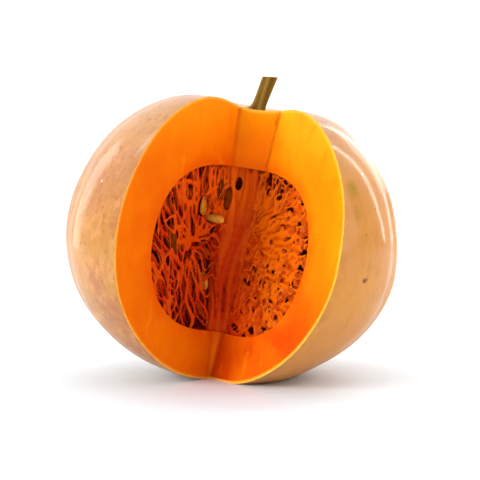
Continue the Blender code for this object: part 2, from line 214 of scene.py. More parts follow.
def notch_end(is_inside, inside, outside):
    """Where the notch ends between a place inside it and one outside, by halving the gap 40 times."""
    for _ in range(40):
        halfway = np.asarray((inside + outside) / 2)
        within = is_inside(halfway)
        inside = np.where(within, halfway, inside)
        outside = np.where(within, outside, halfway)
    return inside


def edge_bearing(surface, angles, planes, widest):
    """The bearing where each ring of a surface leaves the space in front of some cuts."""
    def in_front(bearings):
        points = surface(angles, bearings)
        return np.min([ahead(points, plane) for plane in planes], axis=0) > 0
    return notch_end(in_front, np.full(angles.shape, MIDDLE_CUT[0]), np.full(angles.shape, widest))


def closing_angle(surface, pole):
    """The height angle where the middle cut comes out of a surface at the notch's own bearing."""
    def in_front(angle):
        return ahead(surface(angle, np.array(MIDDLE_CUT[0])), MIDDLE_PLANE) > 0
    return float(notch_end(in_front, 0.0, pole * POLE_ANGLE))


def crease_angle(surface, side_plane, widest, pole):
    """The height angle where the crease between a side cut and the middle cut meets a surface."""
    def in_front(angle):
        ring = angle.reshape(1)
        point = surface(ring, edge_bearing(surface, ring, (side_plane,), widest))
        return ahead(point, MIDDLE_PLANE)[0] > 0
    return float(notch_end(in_front, 0.0, closing_angle(surface, pole)))


def row_angles(surface, side_plane, widest, rows):
    """Height angles of a side's rows, evenly spaced along the surface between the notch's corners."""
    knots = [
        -POLE_ANGLE, closing_angle(surface, -1), crease_angle(surface, side_plane, widest, -1),
        crease_angle(surface, side_plane, widest, 1), closing_angle(surface, 1), POLE_ANGLE]
    fine = np.linspace(-POLE_ANGLE, POLE_ANGLE, 4001)
    line = surface(fine, np.full(fine.shape, math.pi))
    length = np.concatenate(([0], np.cumsum(np.linalg.norm(np.diff(line, axis=0), axis=1))))
    marks = np.interp(knots, fine, length)
    angles = [np.array([knots[0]])]
    for start, end, count, last in zip(marks[:-1], marks[1:], rows, knots[1:]):
        part = np.interp(np.linspace(start, end, count + 1)[1:], length, fine)
        part[-1] = last
        angles.append(part)
    return np.concatenate(angles)


def cut_shell(surface, rows, columns):
    """A surface as a grid that runs round the back from the notch's right edge to its left edge."""
    right = row_angles(surface, RIGHT_PLANE, WIDEST_BEARING, rows)
    left = row_angles(surface, LEFT_PLANE, -WIDEST_BEARING, rows)
    right_edge = edge_bearing(surface, right, (RIGHT_PLANE, MIDDLE_PLANE), WIDEST_BEARING)
    left_edge = edge_bearing(surface, left, (LEFT_PLANE, MIDDLE_PLANE), -WIDEST_BEARING)
    closed = np.ones(right.shape, bool)
    closed[rows[0] + 1:-rows[-1] - 1] = False
    right_edge[closed] = MIDDLE_CUT[0]
    left_edge[closed] = MIDDLE_CUT[0]
    across = np.linspace(0, 1, columns + 1)
    angles = right[:, None] + (left - right)[:, None] * across
    bearings = right_edge[:, None] + (left_edge + 2 * math.pi - right_edge)[:, None] * across
    points = surface(angles, bearings)
    points[0] = points[0].mean(0)
    points[-1] = points[-1].mean(0)
    return points


# Meshes

def grid_quads(rows, columns, start):
    """Quads of a grid of points that are numbered row by row from start."""
    corner = start + np.arange(rows - 1)[:, None] * columns + np.arange(columns - 1)
    quads = np.stack((corner, corner + 1, corner + columns + 1, corner + columns), -1)
    return quads.reshape(-1, 4)


def placed(name, data):
    """A new object at the origin, in the scene."""
    made = bpy.data.objects.new(name, data)
    bpy.context.scene.collection.objects.link(made)
    return made


def new_piece(name, points, quads, materials, node, values=None, kinds=None, weld=True,
              crisp=False):
    """A smooth closed piece at the origin, with its seams merged, on the fruit's body.

    values are named numbers for each point, and kinds gives each quad's material."""
    mesh = bpy.data.meshes.new(name)
    mesh.from_pydata(points.tolist(), [], quads.tolist())
    for key, numbers in (values or {}).items():
        layer = mesh.attributes.new(key, "FLOAT", "POINT")
        layer.data.foreach_set("value", np.asarray(numbers, np.float32).ravel())
    if kinds is not None:
        mesh.polygons.foreach_set("material_index", np.asarray(kinds, np.int32))
    if weld:
        solid = bmesh.new()
        solid.from_mesh(mesh)
        bmesh.ops.remove_doubles(solid, verts=solid.verts[:], dist=2e-6)
        bmesh.ops.recalc_face_normals(solid, faces=solid.faces[:])
        solid.to_mesh(mesh)
        solid.free()
    mesh.shade_smooth()
    if crisp:
        mesh.set_sharp_from_angle(angle=math.radians(38))
    for material in materials:
        mesh.materials.append(material)
    piece = placed(name, mesh)
    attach(piece, "root")
    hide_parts(node)


def grid_piece(name, grid, materials, node, values):
    """A piece whose surface is one closed grid of points in the fruit's own frame."""
    rows, columns = grid.shape[:2]
    quads = grid_quads(rows, columns, 0)
    new_piece(name, stood(grid.reshape(-1, 3)), quads, materials, node, values)


def body_between(outer, inner, rows, across):
    """Points and quads of the body between two cut shells, closed by the notch's cut faces.

    It also gives, for each point, how far it is from the outer shell along a cut face, and how far
    from the inner one, and for each quad 0 on the outer shell, 1 on a cut face and 2 on the inner."""
    first, last = rows[0], sum(rows[:4])
    share = np.linspace(0, 1, across + 1)[None, :, None]
    parts = [(outer, 0), (inner, 2)]
    for column in (0, -1):
        outside, inside = (shell[first:last + 1, column][:, None] for shell in (outer, inner))
        parts.append((outside + (inside - outside) * share, 1))
    thick = np.linalg.norm(outer[len(outer) // 2, 0] - inner[len(inner) // 2, 0])
    points, quads, depths, kinds = [], [], [], []
    for grid, kind in parts:
        rows_here, columns = grid.shape[:2]
        quads.append(grid_quads(rows_here, columns, sum(len(part) for part in points)))
        points.append(grid.reshape(-1, 3))
        kinds.append(np.full(len(quads[-1]), kind))
        if kind == 1:
            length = np.linalg.norm(grid[:, -1] - grid[:, 0], axis=-1)[:, None]
            down = share[..., 0] * length
        else:
            length = thick
            down = np.full((rows_here, columns), thick * kind / 2)
        depths.append(np.stack((down, length - down), -1).reshape(-1, 2))
    return np.concatenate(points), np.concatenate(quads), np.concatenate(depths), np.concatenate(kinds)


# Shader helpers

def tone(colour):
    """A colour written as 0 to 255 on screen, as linear light. A shader's output stays as it is."""
    if isinstance(colour, bpy.types.NodeSocket):
        return colour
    return tuple((channel / 255) ** 2.2 for channel in colour) + (1.0,)


class Finish:
    """One material's node tree, with short calls for the nodes that it is built from. Its colour is
    built up as it goes."""

    def __init__(self, name, colour=None):
        self.material = bpy.data.materials.new(name)
        self.material.use_nodes = True
        self.tree = self.material.node_tree
        self.shader = self.tree.nodes["Principled BSDF"]
        self.place = self.node("TexCoord", {}, "Object")
        self.colour = colour

    def feed(self, socket, value):
        """Link an output to a socket, or set the socket's own value."""
        if isinstance(value, bpy.types.NodeSocket):
            self.tree.links.new(value, socket)
        else:
            socket.default_value = value

    def node(self, kind, inputs, output=0, **settings):
        """Add a node, set its properties, feed its inputs and give one of its outputs."""
        made = self.tree.nodes.new("ShaderNode" + kind)
        for key, value in settings.items():
            setattr(made, key, value)
        for key, value in inputs.items():
            self.feed(made.inputs[key], value)
        return made.outputs[output]

    def attribute(self, name):
        """A number stored on the mesh's points."""
        return self.node("Attribute", {}, "Fac", attribute_name=name)

    def math(self, operation, first, second=0.0, clamp=False):
        """One arithmetic step."""
        return self.node("Math", {0: first, 1: second}, operation=operation, use_clamp=clamp)

    def times(self, first, second, clamp=False):
        """The product of two numbers."""
        return self.math("MULTIPLY", first, second, clamp)

    def ramp(self, value, low, high, to_low=0.0, to_high=1.0):
        """A number brought smoothly from one range into another."""
        inputs = {"Value": value, "From Min": low, "From Max": high, "To Min": to_low, "To Max": to_high}
        return self.node("MapRange", inputs, "Result", interpolation_type="SMOOTHSTEP")

    def stretched(self, scale, turn=(0.0, 0.0, 0.0), centre=(0.0, 0.0, 0.0)):
        """The place on the piece, moved from a centre, turned and stretched."""
        inputs = {"Vector": self.place, "Location": centre, "Rotation": turn, "Scale": scale}
        return self.node("Mapping", inputs, vector_type="TEXTURE")

    def fruit_place(self, stretch):
        """The place on the piece along the fruit's own leaning axes, stretched."""
        return self.stretched(stretch, (-LEAN_BACK, LEAN_RIGHT, 0.0), tuple(FRUIT_MIDDLE))

    def noise(self, scale, detail=3.0, rough=0.5, place=None):
        """Soft noise between about 0.3 and 0.7."""
        inputs = {"Vector": place or self.place, "Scale": scale, "Detail": detail, "Roughness": rough}
        return self.node("TexNoise", inputs, "Fac")

    def spots(self, scale):
        """The distance to the nearest of many scattered points."""
        return self.node("TexVoronoi", {"Vector": self.place, "Scale": scale}, "Distance")

    def patch(self, centre, size):
        """A soft oval patch on the surface: 1 at its centre and 0 from its half sizes outwards."""
        away = self.node("VectorMath", {0: self.stretched(size, centre=centre)}, "Value",
                         operation="LENGTH")
        return self.ramp(away, 0.0, 1.0, 1.0, 0.0)

    def across(self, direction):
        """The place on the piece, measured along one direction."""
        inputs = {0: self.place, 1: direction}
        return self.node("VectorMath", inputs, "Value", operation="DOT_PRODUCT")

    def ahead_of(self, plane):
        """How far the surface is in front of a cut, from its place in the world."""
        way = LEAN @ plane[0]
        return self.math("SUBTRACT", self.across(tuple(way)), float(plane[1] + way @ FRUIT_MIDDLE))

    def mix(self, share, first, second):
        """A colour between two."""
        return self.node("Mix", {0: share, 6: tone(first), 7: tone(second)}, 2, data_type="RGBA")

    def tint(self, share, colour):
        """Bring the finish's colour nearer to another one, by a share from 0 to 1."""
        self.colour = self.mix(share, self.colour, colour)

    def bump(self, height, strength, distance, after=None):
        """A bump from a height, on top of an earlier one."""
        inputs = {"Height": height, "Strength": strength, "Distance": distance}
        if after is not None:
            inputs["Normal"] = after
        return self.node("Bump", inputs)

    def done(self, roughness, normal=None, **constants):
        """Link the shader's inputs, set the ones that are the same everywhere, give the material."""
        self.feed(self.shader.inputs["Base Color"], self.colour)
        self.feed(self.shader.inputs["Roughness"], roughness)
        if normal is not None:
            self.feed(self.shader.inputs["Normal"], normal)
        for key, value in constants.items():
            self.shader.inputs[key.replace("_", " ")].default_value = value
        return self.material


# Materials

# Marks on the skin: centre, half sizes and strength
GREEN_BLUSHES = (((0.0911, -0.0985, 0.1552), (0.008, 0.012, 0.013), 1.0),
                 ((0.0938, -0.1042, 0.1367), (0.006, 0.010, 0.011), 0.65),
                 ((0.0990, -0.0990, 0.1150), (0.010, 0.012, 0.018), 0.25))
DARK_SPECKS = (((0.1005, -0.1000, 0.0865), (0.0036, 0.0042, 0.0031), 0.95),
               ((0.1022, -0.0970, 0.0872), (0.0020, 0.0026, 0.0014), 0.6),
               ((0.1091, -0.0837, 0.1400), (0.0012, 0.0016, 0.0012), 0.7),
               ((0.1010, -0.1004, 0.1212), (0.0010, 0.0013, 0.0011), 0.7),
               ((0.0985, -0.1040, 0.0990), (0.0009, 0.0012, 0.0010), 0.5))
# Specks reach their full strength well inside their rim
SPECK_CORE = 1.6
PALE_SPECKS = (((0.0995, -0.0793, 0.1666), (0.0016, 0.0020, 0.0016), 0.9),
               ((-0.0989, -0.0863, 0.1614), (0.0016, 0.0016, 0.0018), 0.6))


def rind_skin_finish():
    """Waxy buff skin, clouded, flecked and pitted, with faint streaks from pole to pole, a green
    blush, a scar and a few specks. Painted light and shade: a pinkish tone on the left and an ochre
    one on the right, set to how each side looks under its light, and paler towards the top."""
    make = Finish("rind_skin")
    clouds = make.noise(22.0, 4.0, 0.6)
    mottle = make.noise(190.0, 4.0, 0.65)
    blotches = make.noise(90.0, 5.0, 0.7, make.fruit_place((1.0, 1.0, 1.5)))
    streaks = make.noise(60.0, 3.0, 0.6, make.fruit_place((1.0, 1.0, 7.0)))
    right_side = make.ramp(make.across(RIGHTWARD), -0.05, 0.06)
    clouded = make.ramp(clouds, 0.35, 0.65)
    # Painted light and shade: the left and right tones are set to how each side looks under its light.
    left_tone = make.mix(clouded, (176, 124, 62), (162, 104, 66))
    right_tone = make.mix(clouded, (210, 139, 60), (198, 127, 56))
    make.colour = make.mix(right_side, left_tone, right_tone)
    # Painted light: the skin is painted paler towards the top, where the light falls.
    make.tint(make.ramp(make.across(UPWARD), 0.14, 0.215, 0.0, 0.6), (184, 142, 108))
    # A pattern, its range, the share that goes with it, the strength at left and right, and the tone
    for pattern, span, share, sides, colour in (
            (blotches, (0.5, 0.62), (0.0, 1.0), (0.55, 0.2), (196, 134, 84)),
            (blotches, (0.36, 0.47), (1.0, 0.0), (0.38, 0.16), (164, 102, 40)),
            (mottle, (0.5, 0.68), (0.0, 1.0), (0.22, 0.08), (204, 146, 92)),
            (mottle, (0.32, 0.46), (1.0, 0.0), (0.55, 0.14), (150, 88, 48))):
        strength = make.ramp(right_side, 0.0, 1.0, *sides)
        make.tint(make.times(make.ramp(pattern, *span, *share), strength), colour)
    make.tint(make.ramp(streaks, 0.55, 0.75, 0.0, 0.3), (200, 138, 70))
    make.tint(make.ramp(streaks, 0.25, 0.42, 0.28, 0.0), (148, 92, 44))
    flecks = make.ramp(make.spots(330.0), 0.0, 0.20, 0.6, 0.0)
    make.tint(make.times(flecks, make.ramp(mottle, 0.42, 0.6)), (124, 70, 36))
    ragged = make.ramp(mottle, 0.35, 0.6, 0.6, 1.0)
    for centre, size, strength in GREEN_BLUSHES:
        make.tint(make.times(make.times(make.patch(centre, size), ragged), strength), (160, 120, 6))
    for specks, colour in ((DARK_SPECKS, (128, 62, 1)), (PALE_SPECKS, (235, 205, 170))):
        for centre, size, strength in specks:
            make.tint(make.times(make.patch(centre, size), strength * SPECK_CORE, clamp=True), colour)
    pits = make.ramp(make.spots(210.0), 0.0, 0.35)
    height = make.math("ADD", make.times(mottle, 1.6), make.times(pits, 0.5))
    normal = make.bump(make.times(height, make.ramp(right_side, 0.0, 1.0, 1.0, 0.35)), 0.40, 0.0011)
    normal = make.bump(make.math("ADD", clouds, streaks), 0.25, 0.003, normal)
    return make.done(make.ramp(mottle, 0.3, 0.7, 0.42, 0.54), normal, Coat_Weight=0.42,
                     Coat_Roughness=0.13, Subsurface_Weight=0.06, Subsurface_Scale=0.006,
                     Subsurface_Radius=(0.9, 0.45, 0.2), Specular_IOR_Level=0.05)


def rind_edge_finish():
    """The cut edge of the rind, pale yellow."""
    make = Finish("rind_edge")
    grain = make.ramp(make.noise(300.0), 0.4, 0.6)
    make.colour = make.mix(grain, (246, 176, 62), (238, 160, 56))
    return make.done(0.45, Specular_IOR_Level=0.2)


def flesh_finish():
    """Moist cut flesh: deep orange near the cavity, yellower under the rind and towards the top of
    each face, with faint fibres. Painted light and shade: the left face deeper orange, the right
    face yellower, paler at its top and darker at its foot, thin painted shade along the creases
    where two cuts meet, and a few painted pale glints of moisture."""
    make = Finish("flesh")
    under = make.attribute("under_rind")
    inside = make.attribute("from_cavity")
    level = make.across(UPWARD)
    cloud = make.noise(30.0, 3.0)
    fibres = make.noise(95.0, 4.0, 0.65, make.fruit_place((1.0, 1.0, 2.6)))
    left, right, middle = (make.ahead_of(plane) for plane in (LEFT_PLANE, RIGHT_PLANE, MIDDLE_PLANE))
    on_left, on_right = (make.ramp(make.math("ABSOLUTE", side), 0.0004, 0.0030, 1.0, 0.0)
                         for side in (left, right))
    inwards = make.ramp(under, 0.0, 0.024)
    make.colour = make.mix(inwards, (246, 136, 6), (240, 112, 2))
    # Painted shade: the left face, turned away from the light, is painted a deeper orange.
    make.tint(on_left, make.mix(inwards, (232, 106, 3), (231, 105, 2)))
    make.tint(make.ramp(level, 0.17, 0.225, 0.0, 0.8), (248, 144, 8))
    # The right face catches the sun at its top and is in shade at its foot
    make.tint(make.times(on_right, 0.35), (246, 140, 2))
    make.tint(make.times(on_right, make.ramp(level, 0.15, 0.215, 0.0, 0.7)), (250, 160, 26))
    make.tint(make.times(on_right, make.ramp(level, 0.030, 0.125, 0.95, 0.0)), (200, 62, 0))
    make.tint(make.ramp(inside, 0.0, 0.012, 0.7, 0.0), (226, 84, 2))
    under_edge = make.ramp(under, 0.0, 0.0020, 0.7, 0.0)
    make.tint(make.times(under_edge, make.ramp(on_left, 0.0, 1.0, 1.0, 0.4)), (250, 178, 52))
    make.tint(make.ramp(cloud, 0.4, 0.65, 0.0, 0.3), (246, 130, 4))
    make.tint(make.ramp(fibres, 0.5, 0.72, 0.0, 0.35), (228, 92, 1))
    make.tint(make.ramp(fibres, 0.28, 0.42, 0.35, 0.0), (252, 148, 14))
    # Painted shade: a thin dark line along each crease where a side cut meets the middle cut.
    wobble = make.times(make.math("SUBTRACT", fibres, 0.5), 0.006)
    for side, width, strength in ((left, 0.0020, 0.4), (right, 0.0023, 0.7)):
        gap = make.math("MAXIMUM", make.math("ABSOLUTE", make.math("ADD", side, wobble)),
                        make.math("ABSOLUTE", middle))
        broken = make.ramp(fibres, 0.3, 0.6, strength, strength * 0.55)
        make.tint(make.times(make.ramp(gap, width * 0.1, width, 1.0, 0.0), broken), (184, 62, 2))
    # Painted highlights: pale glints of moisture, painted as spots at the top of the right face.
    painted_glints = make.ramp(make.spots(170.0), 0.0, 0.16, 0.5, 0.0)
    glint_patch = make.ramp(make.patch((0.058, -0.058, 0.196), (0.030, 0.030, 0.032)), 0.05, 0.4)
    make.tint(make.times(painted_glints, glint_patch), (255, 206, 110))
    grain = make.noise(520.0, 3.0, 0.6)
    normal = make.bump(make.math("ADD", cloud, fibres), 0.16, 0.003, make.bump(grain, 0.10, 0.0006))
    return make.done(make.ramp(grain, 0.3, 0.7, 0.44, 0.6), normal, Subsurface_Weight=0.2,
                     Subsurface_Scale=0.005, Subsurface_Radius=(1.0, 0.3, 0.05),
                     Specular_IOR_Level=0.04)


def lining_finish():
    """The cavity's own wall, deep red-orange and stringy."""
    make = Finish("cavity_lining")
    strings = make.noise(140.0, 4.0, 0.6, make.fruit_place((1.0, 1.0, 3.0)))
    make.colour = make.mix(make.ramp(strings, 0.35, 0.65), (196, 62, 4), (150, 30, 2))
    return make.done(0.7, make.bump(strings, 0.5, 0.002), Specular_IOR_Level=0.04)


def pulp_finish(name, pale, deep):
    """Wet stringy pulp: painted shade, pale at the cut and darker red deeper behind it, and painted light
    at its top.
    """
    make = Finish(name)
    depth = make.attribute("pulp_depth")
    cloud = make.noise(60.0, 4.0)
    right_side = make.ramp(make.across(RIGHTWARD), 0.0, 0.03)
    # Painted shade: the pulp goes from pale at the cut to darker red the deeper it lies behind it.
    cut = make.mix(right_side, pale, (204, 92, 5))
    behind = make.mix(right_side, (198, 52, 6), (156, 50, 2))
    make.colour = make.mix(make.ramp(depth, 0.0003, 0.0026), cut, behind)
    make.tint(make.ramp(depth, 0.003, 0.016), deep)
    make.tint(make.ramp(cloud, 0.45, 0.75, 0.0, 0.3), (222, 84, 6))
    # Painted light: the upper pulp, most on the left, and a patch at its crown are painted lighter
    # orange.
    upper = make.ramp(make.across(UPWARD), 0.130, 0.165, 0.0, 0.70)
    make.tint(make.times(upper, make.ramp(right_side, 0.0, 1.0, 1.0, 0.15)), (230, 90, 14))
    make.tint(make.patch((-0.004, -0.024, 0.150), (0.034, 0.030, 0.036)), (234, 104, 14))
    grain = make.noise(420.0, 3.0, 0.6, make.stretched((1.0, 1.0, 4.0)))
    return make.done(make.ramp(grain, 0.3, 0.7, 0.32, 0.5), make.bump(grain, 0.25, 0.0008),
                     Subsurface_Weight=0.2, Subsurface_Scale=0.002,
                     Subsurface_Radius=(1.0, 0.25, 0.06), Specular_IOR_Level=0.05)


def seed_finish():
    """Slick beige seed coat with a darker rim."""
    make = Finish("seed_coat")
    grain = make.noise(260.0, 3.0)
    make.colour = make.mix(make.ramp(grain, 0.4, 0.65), (248, 168, 54), (234, 140, 34))
    make.tint(make.ramp(make.attribute("seed_rim"), 0.6, 1.0, 0.0, 0.7), (170, 84, 18))
    return make.done(0.34, make.bump(grain, 0.1, 0.0005), Specular_IOR_Level=0.16)


def veiled_seed_finish():
    """A seed under a film of pulp, olive-brown going to orange at its rim."""
    make = Finish("seed_veiled")
    grain = make.noise(160.0, 3.0)
    make.colour = make.mix(make.ramp(grain, 0.4, 0.65), (126, 60, 2), (160, 72, 3))
    make.tint(make.ramp(make.attribute("seed_rim"), 0.5, 1.0, 0.0, 0.8), (188, 62, 8))
    return make.done(0.45, make.bump(grain, 0.2, 0.001), Specular_IOR_Level=0.03)


def stem_finish():
    """Dry olive-brown stalk, streaked along it, with paler ridges and a painted highlight: a pale foot.
    """
    make = Finish("stalk")
    lean = (0.0, 0.38, 0.0)
    streaks = make.noise(120.0, 4.0, 0.6, make.stretched((1.0, 1.0, 6.0), lean))
    make.colour = make.mix(make.ramp(streaks, 0.35, 0.65), (84, 60, 13), (120, 86, 24))
    make.tint(make.ramp(make.attribute("stem_ridge"), 0.3, 1.0, 0.0, 0.5), (160, 122, 48))
    # Painted highlight: the foot of the stalk is painted pale.
    make.tint(make.ramp(make.attribute("stem_share"), 0.0, 0.10, 0.55, 0.0), (198, 146, 84))
    grain = make.noise(700.0, 3.0, 0.6)
    normal = make.bump(make.math("ADD", streaks, grain), 0.4, 0.0006)
    return make.done(make.ramp(grain, 0.3, 0.7, 0.6, 0.8), normal, Specular_IOR_Level=0.15)


# The wall: rind and flesh

def make_wall():
    """The rind, a thin closed shell, and the flesh that fills the space between it and the cavity."""
    under_rind = under_skin(RIND_THICKNESS)
    around, inner, across = RIND_COLUMNS
    points, quads, depths, kinds = body_between(
        cut_shell(skin, SKIN_ROWS, around), cut_shell(under_rind, SKIN_ROWS, inner), SKIN_ROWS, across)
    floors = np.minimum(depths[:, 0], RIND_THICKNESS)
    new_piece("rind", stood(points, floors), quads, [rind_skin_finish(), rind_edge_finish()],
              "fruit_wall", kinds=kinds == 1, crisp=True)
    around, inner, across = FLESH_COLUMNS
    points, quads, depths, kinds = body_between(
        cut_shell(under_rind, FLESH_ROWS, around), cut_shell(cavity, FLESH_ROWS, inner), FLESH_ROWS,
        across)
    new_piece("flesh", stood(points, RIND_THICKNESS), quads, [flesh_finish(), lining_finish()],
              "fruit_wall", kinds=kinds == 2, crisp=True,
              values={"under_rind": depths[:, 0], "from_cavity": depths[:, 1]})


# The stem

def make_stem():
    """A ring carried along a slightly bent line. The ring's radius is R (0.92 + 0.1 s^3) at a share s of
    the length, plus a foot that flares as exp(-length / fade), plus five round ridges and a low uneven
    wave. The top is cut off level and sunk a little in its middle."""
    foot = skin(np.array(POLE_ANGLE), np.array(0.0))
    share = np.linspace(0, 1, STEM_RINGS)
    along = -STEM_SINK + (STEM_LENGTH + STEM_SINK) * share
    flare = (STEM_FLARE_RADIUS - STEM_RADIUS) * np.exp(-np.clip(along, 0, None) / STEM_FLARE_FADE)
    radius = STEM_RADIUS * (0.92 + 0.10 * share ** 3) + flare
    close = np.linspace(STEM_HOLLOW_SHARE, 0.0, 8)
    drop = STEM_HOLLOW * (1 - (close / STEM_HOLLOW_SHARE) ** 2)
    radius = np.concatenate((radius, radius[-1] * close))[:, None]
    lift = np.concatenate((along, along[-1] - drop))[:, None]
    fade = np.concatenate((np.ones(STEM_RINGS), close))[:, None]
    turn = np.linspace(0, 2 * math.pi, STEM_SIDES + 1)
    ridges = 0.5 + 0.5 * np.cos(STEM_RIDGES * (turn + STEM_TWIST * lift))
    uneven = 0.03 * np.sin(2 * turn + 1.0) + 0.03 * np.sin(3 * turn + 60 * lift)
    spread = radius + STEM_RADIUS * fade * (0.15 * (ridges ** 1.5 - 0.45) + uneven)
    axis = np.array((math.sin(STEM_TILT), 0.0, math.cos(STEM_TILT)))
    side = np.array((axis[2], 0.0, -axis[0]))
    front = np.cross(axis, side)
    sideways = (spread * np.cos(turn))[..., None]
    forwards = (spread * np.sin(turn))[..., None]
    part = np.clip(lift / STEM_LENGTH, 0, 1)[..., None]
    bend = (0.0014 + 0.0003 * part) * side
    level_top = 0.34 * part ** 8 * sideways * axis
    grid = foot + lift[..., None] * axis + bend + sideways * side + forwards * front + level_top
    bottom = np.broadcast_to(grid[:1].mean(1, keepdims=True), (1,) + grid.shape[1:])
    grid = np.concatenate((bottom, grid))
    above = np.repeat(np.concatenate(([0], part.ravel())), STEM_SIDES + 1)
    ridges = np.concatenate((ridges[:1], ridges))
    grid_piece("stalk", grid, [stem_finish()], "stem",
               {"stem_share": above, "stem_ridge": ridges.ravel()})


# The pulp

# Each cut face: its plane, and the bearing from the x axis of the level way outwards along it
FACES = {"left": (LEFT_PLANE, LEFT_CUT[0] - math.pi / 2), "middle": (MIDDLE_PLANE, MIDDLE_CUT[0]),
         "right": (RIGHT_PLANE, RIGHT_CUT[0] - math.pi / 2)}


def face_points(side, out, height, depth):
    """Points given on a cut face: out from the fruit's axis, up the face, and depth behind it."""
    (normal, distance), way = FACES[side]
    outward = np.array((math.cos(way), math.sin(way), 0.0))
    upward = np.cross(normal, outward)
    upward = upward * np.sign(upward[2])
    out, height, depth = (np.asarray(value)[..., None] for value in (out, height, depth))
    return (distance - depth) * normal + out * outward + height * upward


def wall_gap(points):
    """About how far points are inside the cavity's wall, from its implicit form over its slope."""
    place = points - CAVITY_MIDDLE
    around = np.hypot(place[..., 0], place[..., 1]) / CAVITY_RADIUS
    up = place[..., 2] / CAVITY_HEIGHT
    power = 2 / CAVITY_FULLNESS
    value = around ** power + up ** 2 - 1
    slope = np.hypot(power * around ** (power - 1) / CAVITY_RADIUS, 2 * up / CAVITY_HEIGHT)
    return -value / np.maximum(slope, 8.0)


# Strand families in millimetres on a face: where they leave the wall (out, up) and where they end
FAMILIES = {
    "left": (
        (16, 62, 22, 26), (26, 64, 27, 20), (38, 64, 36, 14), (51, 62, 44, 8), (64, 59, 50, 2),
        (76, 52, 54, -4), (86, 39, 57, -9), (93, 23, 60, -21), (96, 7, 63, -33), (96, -10, 66, -46),
        (95, -26, 68, -56), (90, -42, 74, -62)),
    "left_low": (
        (47, 10, 14, 20), (49, 3, 10, 8), (50, -3, 10, -6), (50, -6, 12, -24), (50, -8, 14, -62),
        (50, -10, 26, -66), (52, -12, 38, -67), (54, -14, 50, -67), (58, -18, 62, -66),
        (62, -24, 72, -62)),
    "right": (
        (14, 62, 20, 34), (25, 64, 25, 28), (38, 64, 29, 22), (52, 62, 32, 18), (66, 57, 34, 14),
        (79, 47, 36, 11), (88, 34, 39, 7), (93, 18, 44, 0), (94, 2, 50, -14), (94, -12, 56, -30),
        (93, -26, 60, -46), (89, -40, 66, -60)),
    "right_low": (
        (30, 20, 8, 30), (31, 12, 8, 12), (33, 4, 8, -8), (36, 0, 10, -30), (38, 0, 16, -64),
        (40, -2, 28, -66), (44, -8, 40, -67), (50, -16, 52, -66), (56, -28, 64, -64)),
    "middle": (
        (-19, 68, -10, -68), (-9, 70, -6, -68), (2, 70, 0, -68), (11, 70, 6, -68), (19, 68, 11, -68)),
}


def strands(dice, family, count, depths, radius, sway, waves, steps=12, broad=(0.5, 0.0)):
    """Paths across a family of lines. Each keeps to its own place in the family and sways to and fro
    in it by a sine, the other way round from its neighbours, so that they meet and part."""
    side = family.split("_")[0]
    table = np.array(FAMILIES[family]) / 1000
    marks = np.linspace(0, 1, len(table))
    along = np.linspace(0, 1, steps)
    paths = []
    for index in range(count):
        place = (index + 0.5 + dice.uniform(-0.25, 0.25)) / count
        phase = math.pi * index + dice.uniform(-0.9, 0.9)
        beat = waves * dice.uniform(0.75, 1.3)
        swing = sway / count * np.sin(phase + math.pi * beat * along)
        spots = np.clip(place + swing, 0, 1)
        line = np.stack([np.interp(spots, marks, table[:, column]) for column in range(4)], -1)
        share = along[:, None] ** 0.9
        flat = line[:, :2] * (1 - share) + line[:, 2:] * share
        level = dice.uniform(*depths) + 0.0011 * np.sin(dice.uniform(0, 6) + 5 * along)
        width = radius * dice.uniform(0.7, 1.35) * (1 + 0.35 * np.sin(dice.uniform(0, 6) + 9 * along))
        width = width * (1 + broad[1] * math.exp(-((place - broad[0]) / 0.22) ** 2)
                         * np.exp(-((along - 0.55) / 0.35) ** 2))
        paths.append((face_points(side, flat[:, 0], flat[:, 1], level), width))
    return paths


def thicken(corner, shape, step, paths, blend):
    """A field that is below zero inside the paths. Each piece of path adds exp((r - d) / blend), with
    d the distance to it and r its radius, and the field is the logarithm of the sum, so paths that
    come close grow together with a web between them."""
    total = np.full(shape, 1e-6)
    for line, width in paths:
        for start, end, first, last in zip(line[:-1], line[1:], width[:-1], width[1:]):
            reach = max(first, last) + 4.5 * blend
            low = np.maximum(np.floor((np.minimum(start, end) - reach - corner) / step).astype(int), 0)
            high = np.minimum(np.ceil((np.maximum(start, end) + reach - corner) / step).astype(int) + 1,
                              shape)
            if (high <= low).any():
                continue
            away = np.ix_(*(corner[axis] + step * np.arange(low[axis], high[axis]) - start[axis]
                            for axis in range(3)))
            run = end - start
            share = sum(run[axis] * away[axis] for axis in range(3)) / max(run @ run, 1e-12)
            share = np.clip(share, 0, 1)
            distance = sum((away[axis] - share * run[axis]) ** 2 for axis in range(3)) ** 0.5
            round_here = first + (last - first) * share
            box = tuple(slice(low[axis], high[axis]) for axis in range(3))
            total[box] += np.exp(np.minimum((round_here - distance) / blend, 8.0))
    return -blend * np.log(total)


